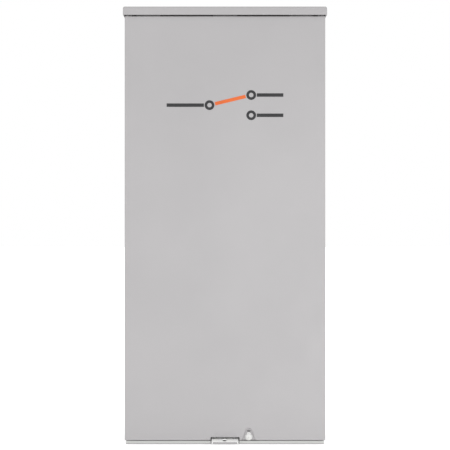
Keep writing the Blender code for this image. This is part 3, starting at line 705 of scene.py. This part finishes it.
def handle():
    """Operating handle: hub, waisted arm and a ribbed T grip, drawn along -Y and tilted to rest."""
    pivot = joint_at("transfer_throw")
    at = {"at": tuple(pivot), "tilt": -45.0}
    hub, grip, half, radius = -27.3, -93.0, 30.0, 6.2
    end, ribs, groove = 3.0, 12, 0.35
    bm = cube((-12, hub - 4, -5), (12, hub, 5))
    arm = prism([(-6, hub - 3), (-5, hub - 20), (-4.6, grip / 2 - 20), (-6, grip), (6, grip),
                 (4.6, grip / 2 - 20), (5, hub - 20), (6, hub - 3)], -4.2, 4.2, "Z")
    bm = carve(bm, arm, "UNION")
    add("handle_arm", bm, "handle_plastic", "transfer_blades", 0.45, ("transfer_handle",), 3, **at)
    cap = [(0.0, -half)] + [(radius * math.sin(a), -half + end - end * math.cos(a)) for a in quarter(6)]
    ribbed = []
    for i in range(ribs * 4 + 1):
        y = -half + 2 * end + (half - 2 * end) * 2 * i / (ribs * 4)
        ribbed.append((radius - (groove if i % 4 in (1, 2) else 0.0), y))
    bm = turned(cap + ribbed + [(r, -y) for r, y in cap[::-1]], 40)
    bmesh.ops.rotate(bm, verts=bm.verts, cent=(0, 0, 0), matrix=Matrix.Rotation(math.radians(90), 3, "Z"))
    bmesh.ops.translate(bm, verts=bm.verts, vec=(0, grip * MM, 0))
    add("handle_grip", bm, "handle_plastic", "transfer_blades", 0.0, (), **at)


def position_marks():
    """I, 0 and II beside the handle's swing, on and off beside the toggle, and a blank data plate."""
    face = corners("dead_front")[0].y
    near, far = face - 0.15, face - 0.02
    pivot, toggle = joint_at("transfer_throw").z, joint_at("breaker_throw").z
    beside, throw, toggle_throw = 24.0, 48, 38

    def stroke(name, x, z, tall=9.0, wide=1.6):
        bm = cube((x - wide / 2, near, z - tall / 2), (x + wide / 2, far, z + tall / 2))
        add(name, bm, "mark_ink", "cabinet")

    def zero(name, x, z, wide=3.4, tall=4.8, line=1.5):
        hole = prism(oval(x, z, wide - line, tall - line, 28), near - 1, far + 1, "Y")
        add(name, carve(prism(oval(x, z, wide, tall, 36), near, far, "Y"), hole), "mark_ink", "cabinet")

    stroke("mark_position_one", beside, pivot + throw)
    zero("mark_position_off", beside, pivot)
    stroke("mark_position_two_a", beside - 2, pivot - throw)
    stroke("mark_position_two_b", beside + 2, pivot - throw)
    stroke("mark_breaker_on", 0, toggle + toggle_throw)
    zero("mark_breaker_off", 0, toggle - toggle_throw)

    front, inset = near - 0.3, 3.5
    plate = cube((PLATE_LEFT, front, PLATE_BOTTOM), (PLATE_RIGHT, far - 0.02, PLATE_TOP))
    add("data_plate", plate, "lug_aluminium", "cabinet", 0.25)
    places = [(x, z) for x in (PLATE_LEFT + inset, PLATE_RIGHT - inset)
              for z in (PLATE_BOTTOM + inset, PLATE_TOP - inset)]
    for i, (x, z) in enumerate(places, 1):
        rivet = rod((x, front, z), (x, front - 0.8, z), 1.5, 20, 1.0)
        add(f"plate_rivet_{i}", rivet, "zinc", "cabinet", 0.2)


def slotted_head(name, x, back, z, radius=4.2):
    """A domed, slotted screw head on a washer, facing forward."""
    washer, rim, dome = radius * 1.45, back - 0.8, 2.2
    profile = [(0.0, rim - dome)]
    profile += [(radius * math.sin(a), rim - dome * math.cos(a) ** 0.8) for a in quarter(7)[:-1]]
    profile += [(radius, rim), (washer, back - 0.7), (washer, back), (0.0, back)]
    bm = turned(profile, 36)
    slot = cube((x - 0.5, back - 4, z - radius - 0.4), (x + 0.5, back - 1.7, z + radius + 0.4))
    bmesh.ops.translate(bm, verts=bm.verts, vec=(x * MM, 0, z * MM))
    add(name, carve(bm, slot), "zinc", "cabinet")


def hex_bolt(name, x, back, z, across=8.0):
    """A hexagon head with a chamfered crown on a flat washer, facing forward."""
    radius, washer = across / math.sqrt(3), 0.9
    bm = rod((x, back - washer, z), (x, back - 4.6, z), radius, 6)
    crown = turned([(0.0, back - 5.2), (radius * 0.80, back - 5.2), (radius * 1.04, back - 3.9),
                    (radius * 1.04, back - 0.4), (0.0, back - 0.4)], 48)
    bmesh.ops.translate(crown, verts=crown.verts, vec=(x * MM, 0, z * MM))
    bm = carve(bm, crown, "INTERSECT")
    rod((x, back, z), (x, back - washer, z), across * 0.86, 40, bm=bm)
    add(name, bm, "zinc", "cabinet", 0.15)


def switch_fasteners():
    """Bolts through the jaws, straps and bus bars, and screws at the corners of the base."""
    base_low, base_high = corners("switch_base")
    strap, load, bus_bolt, generator_bolt = base_low.y - 4.0, 58.0, 58.0, -89.0
    for side, word in SIDES:
        bus, pole = corners(f"feed_bus_{word}")[0], side * 32.0
        hex_bolt(f"bus_bolt_{word}", pole, bus.y, bus_bolt)
        hex_bolt(f"generator_bolt_{word}", pole, strap, generator_bolt)
        hex_bolt(f"load_bolt_{word}", side * load, strap, joint_at("transfer_throw").z)
        for end, z in (("low", base_low.z + 10), ("high", base_high.z - 10)):
            slotted_head(f"base_screw_{word}_{end}", side * (base_high.x - 10), base_low.y, z)
    jumper_low, jumper_high = corners("bonding_jumper")
    foot = corners("ground_bar")[0].y - 2.0
    slotted_head("bonding_screw_neutral", jumper_low.x + 7, jumper_low.y, BAR_ROW, 3.4)
    slotted_head("bonding_screw_ground", jumper_high.x - 7, foot, BAR_ROW, 3.4)


def bar_screws():
    """The clamp screws of the neutral and ground bars, clear of the bonding jumper."""
    neutral, ground = corners("neutral_bar")[0], corners("ground_bar")[0]
    rows = (("neutral", neutral.y, [-100 + 18 * i for i in range(4)], 3.2),
            ("ground", ground.y, [46 + 14 * i for i in range(5)], 2.1))
    for name, face, places, radius in rows:
        for i, x in enumerate(places, 1):
            bm = rod((x, face + 4, BAR_ROW), (x, face - 1.4, BAR_ROW), radius, 28)
            slot = cube((x - 0.45, face - 3, BAR_ROW - radius), (x + 0.45, face - 0.2, BAR_ROW + radius))
            add(f"{name}_bar_screw_{i}", carve(bm, slot), "zinc", "cabinet", 0.2)


def dress_breaker():
    """Moulded ribs, case rivets and grip grooves on the breaker, and washers on the cover's feet."""
    low, high = corners("breaker_case")
    face = low.y + 19.0             # the case's broad front, behind the handle boss
    centre, half, tall, pitch = 29, 18, 2.4, 6.0
    for i in range(5):
        foot = low.z + 12 + pitch * i
        for side, word in SIDES:
            middle = side * centre
            rib = cube((middle - half, face - 0.9, foot), (middle + half, face + 0.5, foot + tall))
            add(f"breaker_rib_{i + 1}_{word}", rib, "black_moulding", "cabinet", 0.5)
    for i, (x, z) in enumerate(((x, z) for x in (-46, 46) for z in (low.z + 50, high.z - 50)), 1):
        rivet = turned([(0.0, -1.4), (1.8, -1.2), (3.0, -0.5), (3.3, 0.0), (3.3, 1.0), (0.0, 1.0)], 28)
        add(f"breaker_rivet_{i}", rivet, "zinc", "cabinet", 0.0, at=(x, face, z))

    pivot, rest = joint_at("breaker_throw"), -22.0
    grip, side_face, tip, spacing = 6.2, 4.45, -42.6, 2.1
    for i in range(4):
        ridge, y = bmesh.new(), tip + spacing * i
        for z in (side_face, -side_face):
            rod((-grip, y, z), (grip, y, z), 0.55, 12, bm=ridge)
        add(f"toggle_grip_{i + 1}", ridge, "black_moulding", "breaker_toggle", at=tuple(pivot), tilt=rest)

    inner, outer, thick = 2.3, 5.4, 0.28
    back = corners("dead_front")[1].y - 1.4     # between the foot flange and its screws' heads
    for i in range(1, 5):
        head_low, head_high = corners(f"dead_front_screw_{i}")
        x, z = (head_low.x + head_high.x) / 2, (head_low.z + head_high.z) / 2
        front = back - thick
        washer = turned([(inner, front), (outer, front), (outer, back), (inner, back), (inner, front)], 36)
        add(f"foot_washer_{i}", washer, "zinc", "cabinet", at=(x, 0, z))


def wiring_marks():
    """A ruled blank table on the data plate."""
    face = corners("dead_front")[0].y - 0.45
    near, far, half = face - 0.12, face + 0.05, 0.25
    left, right, high, rows, spacing = PLATE_LEFT + 8, PLATE_RIGHT - 8, PLATE_TOP - 8, 6, 4.6
    for i in range(rows):
        z = high - spacing * i
        rule = cube((left, near, z - half), (right, far, z + half))
        add(f"plate_rule_{i + 1}", rule, "mark_ink", "cabinet")
    for i, x in enumerate((left, (left + right) / 2, right), 1):
        column = cube((x - half, near, high - 23.2), (x + half, far, high + 0.2))
        add(f"plate_column_{i}", column, "mark_ink", "cabinet")


# Broken edges in millimetres, where they differ from the usual 0.25.
EDGES = {"black_moulding": 0.5, "insulating_board": 0.5, "lug_aluminium": 0.08}


def finish_nodes():
    """Give each CAD node that still shows its finish, broken edges and smooth curves."""
    slots = {part["node"]: part["material_slot"] for part in frame["record"]["subparts"]}
    hidden = {"door_panel", "drip_hood", "latch_tongue", "cover_screw", "seal_tab", "transfer_handle"}
    for name, node in frame["nodes"].items():
        if name in hidden:
            continue
        node.data.materials.clear()
        node.data.materials.append(FINISHES[slots[name]])
        weld = node.modifiers.new("weld", "WELD")
        weld.merge_threshold = 2e-6
        flat = node.modifiers.new("flat", "DECIMATE")
        flat.decimate_type = "DISSOLVE"
        flat.angle_limit = math.radians(0.5)
        soften(node, EDGES.get(slots[name], 0.25))
        smooth(node)


# --- studio ----------------------------------------------------------------------------------

# Name, place in metres, diameter in metres and power in watts.
LIGHTS = (("key", (0.3, -1.3, 2.0), 0.8, 2.5),
          ("fill", (0.25, -1.2, -0.3), 0.6, 3.8))


def studio():
    """White sweep, even white surround, one broad soft key and a low fill."""
    bm = bmesh.new()
    bmesh.ops.create_grid(bm, x_segments=1, y_segments=1, size=30.0)
    mesh = bpy.data.meshes.new("studio_floor")
    bm.to_mesh(mesh)
    bm.free()
    floor = bpy.data.objects.new("studio_floor", mesh)
    floor.location.z = (BOTTOM - 0.4) * MM
    bpy.context.scene.collection.objects.link(floor)
    pale = Finish("pale_floor", Emission_Color=(1.0, 1.0, 1.0, 1.0), Emission_Strength=0.40)
    tone = pale.blend(pale.noise(2.0), (0.86, 0.86, 0.86), (0.90, 0.90, 0.90))
    rough = pale.spread(pale.noise(3.0), 0.7, 0.8)
    mesh.materials.append(pale.finish(tone, rough, pale.noise(40.0), 0.0001, 0.1))

    world = bpy.data.worlds.new("studio")
    bpy.context.scene.world = world
    world.use_nodes = True
    sky = world.node_tree.nodes["Background"]
    sky.inputs["Color"].default_value = (1.0, 1.0, 1.0, 1.0)
    sky.inputs["Strength"].default_value = 1.0

    for name, place, size, power in LIGHTS:
        light = bpy.data.lights.new(name, "AREA")
        light.shape = "DISK"
        light.size = size
        light.energy = power
        lamp = bpy.data.objects.new(name, light)
        lamp.location = place
        lamp.rotation_euler = (-Vector(place)).to_track_quat("-Z", "Y").to_euler()
        bpy.context.scene.collection.objects.link(lamp)


def camera():
    """A long lens, level and square to the cover, its frame a little taller than the object."""
    seen_height, distance, height = 0.7558, 3.4, 0.0007
    lens = bpy.data.cameras.new("front_camera")
    lens.sensor_width = 36.0
    lens.lens = lens.sensor_width * distance / seen_height
    lens.clip_end = 60.0
    view = bpy.data.objects.new("front_camera", lens)
    view.location = (0.0, FRONT * MM - distance, height)
    view.rotation_euler = (math.radians(90), 0.0, 0.0)
    bpy.context.scene.collection.objects.link(view)
    bpy.context.scene.camera = view


cover()
hood()
ledge_edge()
front_mark()
latch()
cover_screw()
handle()
position_marks()
switch_fasteners()
bar_screws()
dress_breaker()
wiring_marks()
finish_nodes()
studio()
camera()
bpy.context.scene.view_settings.view_transform = "Standard"
